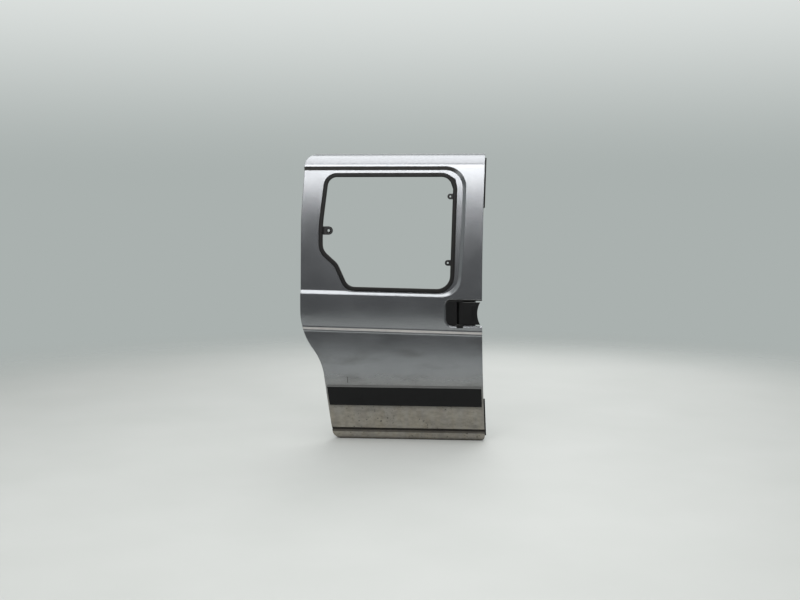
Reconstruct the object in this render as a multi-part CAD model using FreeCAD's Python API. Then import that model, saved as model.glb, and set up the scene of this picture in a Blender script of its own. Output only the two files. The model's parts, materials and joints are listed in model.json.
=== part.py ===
"""Right-hand sliding side door of a small van, with its glass taken out.

The door stands upright on its bottom hem. X runs towards the front of the van, Y runs into the van,
Z runs up. The origin is on the flat underside of the bottom hem, at its middle. Millimetres.
"""

import FreeCAD
import Part
import math
import os

from FreeCAD import Vector

# Sheet metal
SKIN_GAUGE = 1.5
PANEL_GAUGE = 1.5
SHEET_GAP = 0.3
HEM_DEPTH = 18.0
FLANGE_WIDTH = 18.0

# Whole door
DOOR_HEIGHT = 1293.0
BOTTOM_HALF = 345.0
WAIST_Z = 650.0
WINDOW_LEAN = 0.115

# Side section of the outer surface, from the hem up
SILL_GROOVE_Z = 41.0
SILL_GROOVE_WIDTH = 13.0
SILL_GROOVE_DEPTH = 6.5
SILL_Y = -21.0
HEM_FRONT_Y = -HEM_DEPTH / 2
FLANK_BULGE = 14.0
NOSE_Y = -59.0
CREASE_Z = 486.0
CREASE_RISE = 26.0
CREASE_STEP = 3.0
CREASE_LEAN = -0.022
WAIST_Y = -56.0
SHOULDER_BULGE = 2.6
CANT_Z = DOOR_HEIGHT - 60.0
CANT_Y = WAIST_Y + (CANT_Z - WAIST_Z) * WINDOW_LEAN
UPPER_BULGE = 4.0
ROOF_Y = CANT_Y + 40.0
CANT_BULGE = 7.0

# Window recess and the clear opening inside the seal
RECESS_DEPTH = 12.0
RECESS_TAPER = 16.0
RECESS_TOP = DOOR_HEIGHT - 57.0
WINDOW_TOP = DOOR_HEIGHT - 105.0
WINDOW_SILL = 688.0
SEAL_WIDTH = 19.0
SEAL_PROUD = 6.0
EDGE_SEAL_PROUD = 6.0
APERTURE_GROW = 7.0
REVEAL_GROW = 30.0

# Pull handle at the front edge
HANDLE_BOTTOM = 526.5
HANDLE_TOP = 638.0
HANDLE_REAR_X = 169.0
HANDLE_LIP = 6.0
FLAP_GAP = 5.5
FLAP_FRONT_Y = -58.0
FLAP_THICKNESS = 6.5
FLAP_TIP_X = 321.0
FLAP_WAIST_X = 308.0
PIN_X = 231.0
PIN_Y = -49.0
PIN_RADIUS = 2.5
PIN_CLEARANCE = 0.05
HUB_RADIUS = 6.5
LUG_HALF = 13.5
BOWL_FLOOR_Y = -12.0
BOWL_END_X = 296.0
BOWL_WALL = 2.5

# Rub strip along the flank
STRIP_BOTTOM = 161.0
STRIP_TOP = 253.0
STRIP_DEPTH = 11.0
STRIP_CHAMFER = 8.0
STRIP_INSET = 8.0

# Inner panel and what is fixed to it
PLATE_Y = 14.0
PLATE_BELT_Z = 630.0
PLATE_STEP_Z = 690.0
PLATE_STEP_Y = 1.0
BEAD_HEIGHT = 5.0
ARM_GAUGE = 5.0
SEAT_GAUGE = 4.0
LOWER_ARM_Z = 84.0
CENTRE_ARM_Z = 584.0
UPPER_ARM_Z = DOOR_HEIGHT - 55.0
TAB_GAUGE = 3.0
TAB_DEPTH = RECESS_DEPTH + 13.0
BEAM_Z = 305.0
BEAM_Y = -31.0
BEAM_RADIUS = 17.0
BEAM_WALL = 2.5
LOCK_SLOT = 14.0
FRONT_LOCK_Z = 430.0
REAR_LOCK_Z = 742.0

# Limits of the shapes that cut right through the door
SPAN_REAR = -560.0
SPAN_FRONT = 420.0
FAR_OUT = -160.0
FAR_IN = 240.0


def soft_radius(before, corner, after, share):
    """The radius that rounds a corner over a share of the shorter of its two sides."""
    a = Vector(before[0] - corner[0], before[1] - corner[1], 0)
    b = Vector(after[0] - corner[0], after[1] - corner[1], 0)
    return share * min(a.Length, b.Length) * math.tan(a.getAngle(b) / 2)


# Corners of the outline seen from outside, counter-clockwise from the bottom front one
FRONT_BOTTOM = (BOTTOM_HALF, 0.0)
FRONT_WAIST = (321.0, 640.0)
FRONT_TOP = (338.0, DOOR_HEIGHT)
REAR_TOP = (-473.0, DOOR_HEIGHT)
REAR_MIDDLE = (-490.0, DOOR_HEIGHT - 288.0)
ARCH_TOP = (-487.0, 491.0)
ARCH_FRONT = (-389.0, 361.0)
REAR_BOTTOM = (-BOTTOM_HALF, 0.0)
OUTLINE = [
    (*FRONT_BOTTOM, 20.0),
    (*FRONT_WAIST, soft_radius(FRONT_BOTTOM, FRONT_WAIST, FRONT_TOP, 0.75)),
    (*FRONT_TOP, 6.0),
    (*REAR_TOP, 55.0),
    (*REAR_MIDDLE, 1200.0),
    (*ARCH_TOP, soft_radius(REAR_MIDDLE, ARCH_TOP, ARCH_FRONT, 0.58)),
    (*ARCH_FRONT, soft_radius(ARCH_TOP, ARCH_FRONT, REAR_BOTTOM, 0.41)),
    (*REAR_BOTTOM, 40.0),
]
RECESS = [
    (-620.0, 671.0, 0.0),
    (230.0, 654.0, 88.0),
    (256.0, RECESS_TOP - 1.0, 92.0),
    (-620.0, RECESS_TOP, 0.0),
]
WINDOW = [
    (184.0, WINDOW_SILL, 60.0),
    (197.0, WINDOW_TOP, 54.0),
    (-366.0, WINDOW_TOP, 42.0),
    (-391.0, WINDOW_SILL + 280.0, 700.0),
    (-389.0, WINDOW_SILL + 173.0, 58.0),
    (-321.0, WINDOW_SILL + 112.0, 70.0),
    (-273.0, WINDOW_SILL + 9.0, 48.0),
]
HANDLE_CUT = [
    (SPAN_FRONT, HANDLE_BOTTOM, 0.0),
    (SPAN_FRONT, HANDLE_TOP, 0.0),
    (HANDLE_REAR_X, HANDLE_TOP, 22.0),
    (HANDLE_REAR_X, HANDLE_BOTTOM, 30.0),
]


def line(a, b):
    return Part.LineSegment(a, b).toShape()


def arc(a, middle, b):
    return Part.Arc(a, middle, b).toShape()


def box(x0, x1, y0, y1, z0, z1):
    return Part.makeBox(x1 - x0, y1 - y0, z1 - z0, Vector(x0, y0, z0))


def rod(a, b, radius):
    return Part.makeCylinder(radius, (b - a).Length, a, b - a)


def rounded(x0, x1, z0, z1, radius):
    """Corners of an upright rectangle with one corner radius."""
    return [(x1, z0, radius), (x1, z1, radius), (x0, z1, radius), (x0, z0, radius)]


def offset_corners(corners, grow):
    """The corners of a counter-clockwise outline moved outwards by grow, with the radii to match."""
    count = len(corners)
    sides = []
    for i in range(count):
        x0, z0, _ = corners[i]
        x1, z1, _ = corners[(i + 1) % count]
        length = math.hypot(x1 - x0, z1 - z0)
        nx, nz = (z1 - z0) / length, -(x1 - x0) / length
        sides.append((nx, nz, nx * x0 + nz * z0 + grow))
    moved = []
    for i in range(count):
        ax, az, ad = sides[i - 1]
        bx, bz, bd = sides[i]
        cross = ax * bz - az * bx
        x = (ad * bz - bd * az) / cross
        z = (ax * bd - bx * ad) / cross
        radius = corners[i][2]
        if radius > 0:
            radius = max(radius + (grow if cross > 0 else -grow), 0.5)
        moved.append((x, z, radius))
    return moved


def outline_wire(corners, y=0.0, grow=0.0):
    """A closed wire in the XZ plane at depth y, with each corner rounded by its radius."""
    corners = offset_corners(corners, grow)
    count = len(corners)
    starts, ends, middles = [], [], []
    for i in range(count):
        here = Vector(corners[i][0], y, corners[i][1])
        before = Vector(corners[i - 1][0], y, corners[i - 1][1]) - here
        after = Vector(corners[(i + 1) % count][0], y, corners[(i + 1) % count][1]) - here
        before.normalize()
        after.normalize()
        radius = corners[i][2]
        half = before.getAngle(after) / 2
        reach = radius / math.tan(half)
        starts.append(here + before * reach)
        ends.append(here + after * reach)
        inward = (before + after).normalize()
        middles.append(here + inward * (radius / math.sin(half) - radius))
    edges = []
    for i in range(count):
        if corners[i][2] > 0:
            edges.append(arc(starts[i], middles[i], ends[i]))
        edges.append(line(ends[i], starts[(i + 1) % count]))
    return Part.Wire(edges)


def prism(corners, y0=FAR_OUT, y1=FAR_IN, grow=0.0):
    """An outline carried straight through from depth y0 to y1."""
    face = Part.Face(outline_wire(corners, y0, grow))
    return face.extrude(Vector(0, y1 - y0, 0))


def taper(corners, y0, grow0, y1, grow1):
    """An outline that changes size evenly from depth y0 to y1."""
    wires = [outline_wire(corners, y0, grow0), outline_wire(corners, y1, grow1)]
    return Part.makeLoft(wires, True, True)


def ring(corners, inner, outer):
    """The band round an outline between two growths of it, right through the door."""
    return prism(corners, grow=outer).cut(prism(corners, FAR_OUT - 10, FAR_IN + 10, inner))


def flat_plate(corners, z0, z1):
    """A level plate from X, Y corners, between two heights."""
    plate = prism(corners, -z1, -z0)
    plate.rotate(Vector(0, 0, 0), Vector(1, 0, 0), -90)
    return plate


def bulged(y0, z0, y1, z1, bulge):
    """The middle point of an arc that bulges outwards, towards -Y, from its chord."""
    length = math.hypot(y1 - y0, z1 - z0)
    return (y0 + y1) / 2 - bulge * (z1 - z0) / length, (z0 + z1) / 2 + bulge * (y1 - y0) / length


def surface_section(x):
    """The closed side section at x of everything inside the outer surface."""
    nose_z = CREASE_Z + CREASE_LEAN * x
    groove_top = SILL_GROOVE_Z + SILL_GROOVE_WIDTH
    flank_y = SILL_Y - SILL_GROOVE_WIDTH * 0.3
    lip = SILL_GROOVE_WIDTH / 4
    points = [
        (HEM_FRONT_Y, 0.0, None),
        (SILL_Y, SILL_GROOVE_Z, 2.0),
        (SILL_Y + SILL_GROOVE_DEPTH, SILL_GROOVE_Z + lip, None),
        (flank_y + SILL_GROOVE_DEPTH, groove_top - lip, None),
        (flank_y, groove_top, None),
        (NOSE_Y, nose_z, FLANK_BULGE),
        (NOSE_Y + CREASE_STEP * 0.4, nose_z + CREASE_RISE * 0.55, 1.2),
        (NOSE_Y + CREASE_STEP, nose_z + CREASE_RISE, -0.8),
        (WAIST_Y, WAIST_Z, SHOULDER_BULGE),
        (CANT_Y, CANT_Z, UPPER_BULGE),
        (ROOF_Y, DOOR_HEIGHT, CANT_BULGE),
    ]
    low, high = -60.0, DOOR_HEIGHT + 60.0
    edges = [line(Vector(x, HEM_FRONT_Y, low), Vector(x, HEM_FRONT_Y, 0))]
    for (y0, z0, _), (y1, z1, bulge) in zip(points, points[1:]):
        a, b = Vector(x, y0, z0), Vector(x, y1, z1)
        if bulge is None:
            edges.append(line(a, b))
        else:
            edges.append(arc(a, Vector(x, *bulged(y0, z0, y1, z1, bulge)), b))
    top = Vector(x, ROOF_Y + high - DOOR_HEIGHT, high)
    far = FAR_IN + 20
    edges.append(line(Vector(x, ROOF_Y, DOOR_HEIGHT), top))
    back = [top, Vector(x, far, high), Vector(x, far, low), Vector(x, HEM_FRONT_Y, low)]
    edges += [line(a, b) for a, b in zip(back, back[1:])]
    return Part.Wire(edges)


OUTER_MASS = Part.makeLoft([surface_section(SPAN_REAR), surface_section(SPAN_FRONT)], True, True)
WINDOW_TILT = math.degrees(math.atan(WINDOW_LEAN))


def behind(depth):
    """Everything deeper than the outer surface by depth."""
    return OUTER_MASS.translated(Vector(0, depth, 0))


def slab(depth0, depth1):
    """The sheet between two depths inside the outer surface."""
    return behind(depth0).cut(behind(depth1))


def recess_cut(depth):
    """What the window recess takes out of the mass that lies depth inside the outer surface."""
    reach = 20.0
    spread = reach * RECESS_TAPER / RECESS_DEPTH
    stretch = 1 / math.cos(math.radians(WINDOW_TILT))
    corners = [(x, (z - WAIST_Z) * stretch, radius) for x, z, radius in RECESS]
    cutter = taper(corners, -reach, depth + spread, reach, depth - spread)
    cutter.rotate(Vector(0, 0, 0), Vector(1, 0, 0), -WINDOW_TILT)
    cutter.translate(Vector(0, WAIST_Y, WAIST_Z))
    return cutter.cut(behind(RECESS_DEPTH + depth))


def handle_cut(depth):
    """What the sloping lip round the handle takes out of the mass that lies depth inside."""
    reach = 20.0
    grow = depth + HANDLE_LIP
    cutter = taper(HANDLE_CUT, WAIST_Y - reach, grow + reach, WAIST_Y + reach, grow - reach)
    return cutter.cut(behind(HANDLE_LIP + depth))


def mass(depth):
    """The door as a solid that lies depth inside its outer skin, on every side."""
    solid = prism(OUTLINE, grow=-depth).common(behind(depth))
    return solid.cut(recess_cut(depth)).cut(handle_cut(depth))


def plate_depth(z):
    """Depth of the inner panel's back face at a height."""
    if z <= PLATE_BELT_Z:
        return PLATE_Y
    if z <= PLATE_STEP_Z:
        share = (z - PLATE_BELT_Z) / (PLATE_STEP_Z - PLATE_BELT_Z)
        return PLATE_Y + (PLATE_STEP_Y - PLATE_Y) * share
    return PLATE_STEP_Y + (z - PLATE_STEP_Z) * WINDOW_LEAN


def plate_front(offset):
    """Everything outside the inner panel's back face moved into the van by offset."""
    heights = [-80.0, PLATE_BELT_Z, PLATE_STEP_Z, DOOR_HEIGHT + 100]
    points = [Vector(SPAN_REAR, plate_depth(z) + offset, z) for z in heights]
    points += [Vector(SPAN_REAR, -200, heights[-1]), Vector(SPAN_REAR, -200, heights[0])]
    return Part.Face(Part.makePolygon(points + points[:1])).extrude(Vector(SPAN_FRONT - SPAN_REAR, 0, 0))


def front_x(z, inset):
    """Where the front edge of the outline, moved in by inset, stands at a height."""
    face = Part.Face(outline_wire(OUTLINE, 0, -inset))
    return face.common(box(0, 500, -1, 1, z - 0.5, z + 0.5)).BoundBox.XMax


def rear_x(z, inset):
    """Where the rear edge of the outline, moved in by inset, stands at a height."""
    face = Part.Face(outline_wire(OUTLINE, 0, -inset))
    return face.common(box(-600, 0, -1, 1, z - 0.5, z + 0.5)).BoundBox.XMin


parts = {}

# Outer skin: one pressing with a hemmed rim, the window recess and the lip round the handle
skin = mass(0.0).cut(mass(SKIN_GAUGE)).cut(behind(HEM_DEPTH))
skin = skin.cut(prism(WINDOW, grow=APERTURE_GROW)).cut(prism(HANDLE_CUT))
parts["outer_skin"] = skin

# Inner panel: a tray with a flange against the skin, a window reveal, beads and service openings
LIFT = SKIN_GAUGE + SHEET_GAP
WALL_INSET = FLANGE_WIDTH + PANEL_GAUGE
inside_skin = mass(LIFT)
layer = inside_skin.cut(mass(LIFT + PANEL_GAUGE)).cut(behind(HEM_DEPTH))
hollow = prism(OUTLINE, FAR_OUT - 10, FAR_IN + 10, -WALL_INSET).common(plate_front(-PANEL_GAUGE))
tray = prism(OUTLINE, grow=-FLANGE_WIDTH).common(plate_front(0.0)).cut(hollow).common(inside_skin)
tray = tray.cut(prism(WINDOW, FAR_OUT - 10, FAR_IN + 10, REVEAL_GROW))
edge_flange = ring(OUTLINE, -WALL_INSET, -LIFT - 0.4).common(layer)
window_flange = ring(WINDOW, APERTURE_GROW, REVEAL_GROW + PANEL_GAUGE).common(layer)
reveal = ring(WINDOW, REVEAL_GROW, REVEAL_GROW + PANEL_GAUGE).common(inside_skin).common(plate_front(0.0))
panel = tray.fuse([edge_flange, window_flange, reveal])

service_x0 = rear_x(110, FLANGE_WIDTH) + 55
service_holes = [
    rounded(service_x0, -30, 110, 430, 55),
    rounded(50, front_x(180, FLANGE_WIDTH) - 75, 180, 430, 45),
]
round_holes = [(-95, 545, 20), (-170, 545, 12), (10, 70, 13), (-120, 70, 13), (110, 100, 20)]
pillar_x = front_x(DOOR_HEIGHT - 300, FLANGE_WIDTH) - 45
slots = [rounded(pillar_x - 14, pillar_x + 14, z - 40, z + 40, 13.5) for z in (770, 900, 1060)]
slots += [rounded(x - 45, x + 45, WINDOW_TOP + 45, WINDOW_TOP + 69, 11.5) for x in (-260, -90, 80)]
clip_holes = [(rear_x(z, FLANGE_WIDTH) + 16, z) for z in (300, 480, 690, 1130)]
clip_holes += [(front_x(z, FLANGE_WIDTH) - 13, z) for z in (200, 340, 690, 850, 1000, 1130)]
for x, z, radius in round_holes + [(x, z, 4.5) for x, z in clip_holes]:
    panel = panel.cut(rod(Vector(x, plate_depth(z) - 8, z), Vector(x, plate_depth(z) + 8, z), radius))
for corners in service_holes + slots:
    depth = plate_depth(corners[0][1])
    panel = panel.cut(prism(corners, depth - 14, depth + 20))

beads = [
    rounded(-3, 23, 150, 400, 12.5),
    rounded(-420, -200, 470, 494, 11.5),
    rounded(-150, 120, 470, 494, 11.5),
    rounded(service_x0 + 20, 150, 34, 52, 8.5),
]
for corners in beads:
    raised = taper(corners, PLATE_Y - 0.2, BEAD_HEIGHT, PLATE_Y + BEAD_HEIGHT, 0.0)
    sunk = taper(
        corners, PLATE_Y - PANEL_GAUGE - 0.2, BEAD_HEIGHT - 0.9,
        PLATE_Y + BEAD_HEIGHT - PANEL_GAUGE, -0.9,
    )
    panel = panel.fuse(raised).cut(sunk)

handle_notch = box(BOWL_END_X + 4, SPAN_FRONT, FAR_OUT, FAR_IN, HANDLE_BOTTOM - 9, HANDLE_TOP + 9)
panel = panel.cut(handle_notch).cut(prism(HANDLE_CUT, FAR_OUT, BOWL_FLOOR_Y + 4, 9.0))

# Window seal: a rubber trim that grips the two flanges round the window
STACK = RECESS_DEPTH + SKIN_GAUGE + SHEET_GAP + PANEL_GAUGE
SEAL_BACK = STACK + 5.0
LIP_DEPTH = RECESS_DEPTH - SEAL_PROUD * 0.6
front_lip = ring(WINDOW, 0.0, SEAL_WIDTH).common(slab(LIP_DEPTH, RECESS_DEPTH - SHEET_GAP))
crown = ring(WINDOW, 3.0, SEAL_WIDTH - 5).common(slab(RECESS_DEPTH - SEAL_PROUD, RECESS_DEPTH - 1))
web = ring(WINDOW, 0.0, APERTURE_GROW - SHEET_GAP).common(slab(LIP_DEPTH, SEAL_BACK))
back_lip = ring(WINDOW, 0.0, SEAL_WIDTH - 3).common(slab(STACK + SHEET_GAP, SEAL_BACK))
parts["window_seal"] = front_lip.fuse([crown, web, back_lip])

# Rub strip on the flank, with a chamfer along its top
strip = slab(-STRIP_DEPTH, -SHEET_GAP).common(prism(OUTLINE, grow=-STRIP_INSET))
strip = strip.common(box(SPAN_REAR, SPAN_FRONT, FAR_OUT, FAR_IN, STRIP_BOTTOM, STRIP_TOP))
top_front = [
    e for e in strip.Edges
    if e.BoundBox.ZMin > STRIP_TOP - 0.1 and e.BoundBox.XLength > 100 and e.CenterOfMass.y < NOSE_Y
]
parts["rub_strip"] = strip.makeChamfer(STRIP_CHAMFER, top_front)

# Handle: housing with a bowl behind the flap, and the flap on its upright pin
FLAP_BOTTOM = HANDLE_BOTTOM + FLAP_GAP
FLAP_TOP = HANDLE_TOP - FLAP_GAP
lug_x0, lug_x1 = PIN_X - LUG_HALF, PIN_X + LUG_HALF
bowl_inner = prism(HANDLE_CUT, WAIST_Y - 10, BOWL_FLOOR_Y - BOWL_WALL, 5.0)
bowl = prism(HANDLE_CUT, PIN_Y + 0.5, BOWL_FLOOR_Y, 5.0 + BOWL_WALL).cut(bowl_inner)
bowl = bowl.cut(box(BOWL_END_X, SPAN_FRONT + 50, FAR_OUT, FAR_IN, HANDLE_BOTTOM - 50, HANDLE_TOP + 50))
rear_cover = prism(HANDLE_CUT, WAIST_Y + 0.5, BOWL_FLOOR_Y - 1, -0.5)
rear_cover = rear_cover.common(box(0, lug_x0, FAR_OUT, FAR_IN, HANDLE_BOTTOM - 50, HANDLE_TOP + 50))
lip_y = WAIST_Y - 5
lugs = [
    box(lug_x0 - 1, lug_x1, lip_y, PIN_Y + 7, FLAP_TOP + 0.5, HANDLE_TOP - 0.5),
    box(lug_x0 - 1, lug_x1, lip_y, WAIST_Y - 1.6, FLAP_TOP + 0.5, HANDLE_TOP + 5),
    box(lug_x0 - 1, lug_x1, lip_y, PIN_Y + 7, HANDLE_BOTTOM + 0.5, FLAP_BOTTOM - 0.5),
    box(lug_x0 - 1, lug_x1, lip_y, WAIST_Y - 1.6, HANDLE_BOTTOM - 10, FLAP_BOTTOM - 0.5),
]
pin_bore = rod(Vector(PIN_X, PIN_Y, 500), Vector(PIN_X, PIN_Y, 660), PIN_RADIUS + PIN_CLEARANCE)
parts["handle_housing"] = bowl.fuse([rear_cover] + lugs).cut(pin_bore)

tip_low = Vector(FLAP_TIP_X, FLAP_FRONT_Y, FLAP_BOTTOM)
tip_high = Vector(FLAP_TIP_X, FLAP_FRONT_Y, FLAP_TOP)
waist = Vector(FLAP_WAIST_X, FLAP_FRONT_Y, (FLAP_BOTTOM + FLAP_TOP) / 2)
root_low = Vector(PIN_X, FLAP_FRONT_Y, FLAP_BOTTOM)
root_high = Vector(PIN_X, FLAP_FRONT_Y, FLAP_TOP)
flap_wire = Part.Wire([
    line(root_low, tip_low),
    arc(tip_low, waist, tip_high),
    line(tip_high, root_high),
    line(root_high, root_low),
])
flap = Part.Face(flap_wire).extrude(Vector(0, FLAP_THICKNESS, 0))
front_rim = [e for e in flap.Edges if abs(e.CenterOfMass.y - FLAP_FRONT_Y) < 0.01]
rim = [e for e in front_rim if e.CenterOfMass.x > PIN_X + 5]
flap = flap.makeFillet(2.5, rim)
hub = rod(Vector(PIN_X, PIN_Y, FLAP_BOTTOM), Vector(PIN_X, PIN_Y, FLAP_TOP), HUB_RADIUS)
grips = [
    rod(Vector(x, FLAP_FRONT_Y + 0.6, FLAP_BOTTOM + 14), Vector(x, FLAP_FRONT_Y + 0.6, FLAP_TOP - 14), 1.8)
    for x in (FLAP_WAIST_X - 9, FLAP_WAIST_X - 16, FLAP_WAIST_X - 23)
]
parts["handle_flap"] = flap.fuse([hub] + grips).cut(pin_bore)
parts["handle_pin"] = rod(
    Vector(PIN_X, PIN_Y, HANDLE_BOTTOM + 1), Vector(PIN_X, PIN_Y, HANDLE_TOP - 1), PIN_RADIUS
)


def glass_tab(reach_x, z, height, hole_inset, hole_radius, side):
    """A plate from the window reveal into the opening, with a bolt hole for the pane and a turned foot."""
    root_x = reach_x + side * 95
    x0, x1 = min(reach_x, root_x), max(reach_x, root_x)
    inside_reveal = prism(WINDOW, grow=REVEAL_GROW - 0.05)
    sheet = slab(TAB_DEPTH, TAB_DEPTH + TAB_GAUGE)
    plate = prism(rounded(x0, x1, z - height / 2, z + height / 2, height / 2 - 0.5)).common(sheet)
    hole_x = reach_x + side * hole_inset
    plate = plate.common(inside_reveal)
    plate = plate.cut(rod(Vector(hole_x, FAR_OUT, z), Vector(hole_x, FAR_IN, z), hole_radius))
    foot = ring(WINDOW, REVEAL_GROW - 0.05 - TAB_GAUGE, REVEAL_GROW - 0.05)
    foot = foot.common(slab(TAB_DEPTH, TAB_DEPTH + 20))
    foot = foot.common(box(x0, x1, FAR_OUT, FAR_IN, z - height / 2 - 5, z + height / 2 + 5))
    return plate.fuse(foot)


parts["glass_hinge_upper"] = glass_tab(170, WINDOW_TOP - 87, 26, 13, 4.5, 1)
parts["glass_hinge_lower"] = glass_tab(161, WINDOW_SILL + 117, 26, 13, 4.5, 1)
parts["glass_catch"] = glass_tab(-346, WINDOW_SILL + 260, 38, 19, 6.0, -1)

# Stiffening inside the door
rail_z0, rail_z1, rail_wall = WAIST_Z - 52, WAIST_Z - 4, 6.0
rail_rear, rail_front = rear_x(rail_z0, WALL_INSET) + 12, HANDLE_REAR_X - 39
rail = prism(rounded(rail_rear, rail_front, rail_z0, rail_z1, 6)).common(slab(LIFT, 24.0))
groove = rounded(rail_rear - 9, rail_front + 9, rail_z0 + rail_wall, rail_z1 - rail_wall, 4)
parts["waist_rail"] = rail.cut(prism(groove).common(slab(0.0, 22.0)))

beam_rear, beam_front = rear_x(BEAM_Z, 0.0) + 66, front_x(BEAM_Z, 0.0) - 66
beam_ends = Vector(beam_rear, BEAM_Y, BEAM_Z), Vector(beam_front, BEAM_Y, BEAM_Z)
parts["crash_beam"] = rod(*beam_ends, BEAM_RADIUS).cut(rod(*beam_ends, BEAM_RADIUS - BEAM_WALL))


def beam_bracket(x0, x1):
    """A pressed foot on the inner panel that holds one end of the beam."""
    front_face = PLATE_Y - PANEL_GAUGE
    foot = box(x0, x1, front_face - 3, front_face, BEAM_Z - 45, BEAM_Z + 45)
    cradle = box(x0, x1, BEAM_Y + 2, front_face - 1, BEAM_Z - 24, BEAM_Z + 24)
    bore = rod(Vector(x0 - 5, BEAM_Y, BEAM_Z), Vector(x1 + 5, BEAM_Y, BEAM_Z), BEAM_RADIUS + 0.05)
    relief = box(x0 - 5, x1 + 5, BEAM_Y + BEAM_RADIUS + 4, front_face - 3, BEAM_Z - 20, BEAM_Z + 20)
    return foot.fuse(cradle).cut(bore).cut(relief)


parts["beam_bracket_rear"] = beam_bracket(beam_rear, beam_rear + 44)
parts["beam_bracket_front"] = beam_bracket(beam_front - 34, beam_front)


def arm_seat(x0, x1, z0, z1):
    """A flat bracket seated on the inner panel, following its lean."""
    return prism(rounded(x0, x1, z0, z1, 10)).common(plate_front(SEAT_GAUGE).cut(plate_front(0.0)))


def bolt_head(x, z):
    """A hexagon bolt head with its washer, standing on a seat on the level part of the inner panel."""
    face = PLATE_Y + SEAT_GAUGE
    turns = [math.radians(60 * i) for i in range(7)]
    points = [Vector(x + 7.5 * math.cos(a), face, z + 7.5 * math.sin(a)) for a in turns]
    head = Part.Face(Part.makePolygon(points)).extrude(Vector(0, 7.0, 0))
    return head.fuse(rod(Vector(x, face, z), Vector(x, face + 1.6, z), 10.0))


def roller(start, direction, radius, width, axle):
    """A roller with chamfered rims on a short axle; start is the axle's foot."""
    wheel = Part.makeCylinder(radius, width, start + direction * 2, direction)
    rims = [e for e in wheel.Edges if e.Curve.TypeId == "Part::GeomCircle"]
    wheel = wheel.makeChamfer(1.5, rims)
    return Part.makeCylinder(4.0, axle, start, direction).fuse(wheel)


# Lower roller arm, at the front bottom corner
up, inward = Vector(0, 0, 1), Vector(0, 1, 0)
seat_face = PLATE_Y + SEAT_GAUGE
lower_x = front_x(LOWER_ARM_Z, FLANGE_WIDTH) - 77
lower_bolts = [bolt_head(lower_x + dx, LOWER_ARM_Z + dz) for dx in (-42, 42) for dz in (-22, 40)]
parts["lower_arm_bracket"] = arm_seat(
    lower_x - 58, lower_x + 58, LOWER_ARM_Z - 38, LOWER_ARM_Z + 56
).fuse(lower_bolts)
lower_end = 200.0
lower_arm = flat_plate([
    (lower_x + 42, seat_face, 0), (lower_x + 42, 70, 40), (lower_x - 33, lower_end, 18),
    (lower_x - 78, lower_end, 18), (lower_x - 78, 140, 60), (lower_x - 33, seat_face, 0),
], LOWER_ARM_Z, LOWER_ARM_Z + ARM_GAUGE)
ribs = [
    Part.Face(Part.makePolygon([
        Vector(x, seat_face, LOWER_ARM_Z + 4), Vector(x, seat_face + 52, LOWER_ARM_Z + 4),
        Vector(x, seat_face, LOWER_ARM_Z + 34), Vector(x, seat_face, LOWER_ARM_Z + 4),
    ])).extrude(Vector(5, 0, 0))
    for x in (lower_x - 24, lower_x + 24)
]
parts["lower_arm"] = lower_arm.fuse(ribs)
lower_tip_x = lower_x - 55
parts["lower_guide_roller"] = roller(
    Vector(lower_tip_x, lower_end - 20, LOWER_ARM_Z + ARM_GAUGE), up, 14.0, 12.0, 18.0
)
load_ear = box(
    lower_tip_x - 8, lower_tip_x + 8, lower_end, lower_end + 3, LOWER_ARM_Z - 14, LOWER_ARM_Z + ARM_GAUGE
)
load_wheel = roller(Vector(lower_tip_x, lower_end + 2, LOWER_ARM_Z - 6), inward, 17.0, 11.0, 16.0)
parts["lower_load_roller"] = load_wheel.fuse(load_ear)

# Upper roller arm, at the front top corner
upper_x = front_x(UPPER_ARM_Z, FLANGE_WIDTH) - 44
upper_face = plate_depth(UPPER_ARM_Z)
parts["upper_arm_bracket"] = arm_seat(upper_x - 34, upper_x + 34, UPPER_ARM_Z - 52, UPPER_ARM_Z + 24)
upper_arm = flat_plate([
    (upper_x + 26, upper_face, 0),
    (upper_x + 26, upper_face + 34, 30),
    (upper_x - 14, upper_face + 106, 14),
    (upper_x - 44, upper_face + 106, 14),
    (upper_x - 44, upper_face + 66, 40),
    (upper_x - 24, upper_face, 0),
], UPPER_ARM_Z, UPPER_ARM_Z + 4)
parts["upper_arm"] = upper_arm.cut(plate_front(SEAT_GAUGE))
parts["upper_guide_roller"] = roller(
    Vector(upper_x - 29, upper_face + 91, UPPER_ARM_Z + 4), up, 13.0, 12.0, 16.0
)

# Centre roller arm, at the rear edge
centre_x = rear_x(CENTRE_ARM_Z, FLANGE_WIDTH) + 45
centre_bolts = [bolt_head(centre_x + dx, CENTRE_ARM_Z + dz) for dx in (-26, 26) for dz in (-25, 28)]
parts["centre_arm_bracket"] = arm_seat(
    centre_x - 40, centre_x + 40, CENTRE_ARM_Z - 39, CENTRE_ARM_Z + 42
).fuse(centre_bolts)
centre_end = 130.0
parts["centre_arm"] = flat_plate([
    (centre_x + 20, seat_face, 0), (centre_x + 20, 60, 40), (centre_x, centre_end, 14),
    (centre_x - 40, centre_end, 14), (centre_x - 40, 90, 40), (centre_x - 20, seat_face, 0),
], CENTRE_ARM_Z, CENTRE_ARM_Z + ARM_GAUGE)
parts["centre_guide_roller"] = roller(
    Vector(centre_x - 20, centre_end - 18, CENTRE_ARM_Z + ARM_GAUGE), up, 12.0, 12.0, 17.0
)
parts["centre_load_roller"] = roller(
    Vector(centre_x - 20, centre_end, CENTRE_ARM_Z + ARM_GAUGE / 2), inward, 14.0, 10.0, 14.0
)

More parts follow.
